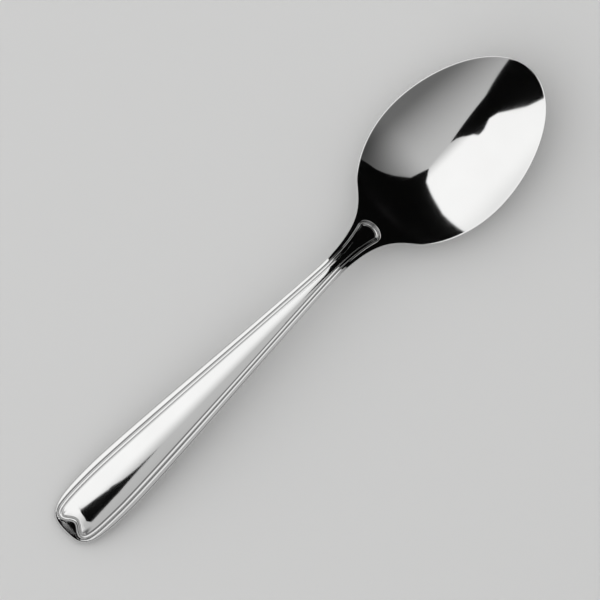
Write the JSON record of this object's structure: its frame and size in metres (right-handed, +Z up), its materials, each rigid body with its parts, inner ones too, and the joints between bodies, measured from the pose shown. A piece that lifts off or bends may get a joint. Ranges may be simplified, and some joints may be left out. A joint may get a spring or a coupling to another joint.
{
  "type": "soup spoon",
  "caption": "One-piece polished steel soup spoon with an egg-shaped bowl, slim neck and arched flat handle edged by a coined thread border, for eating soup.",
  "frame": {"origin": "on the table, below the middle of the spoon's length and width", "axes": "+X from the handle's end to the bowl's tip, +Y across the spoon, +Z up, with the bowl open upwards"},
  "size_m": [0.2, 0.0456, 0.015],
  "materials": {
    "polished_steel": "polished stainless steel with fine buffing lines and light wear from use"
  },
  "bodies": {
    "root": {"soup_spoon": "polished_steel"}
  },
  "joints": []
}
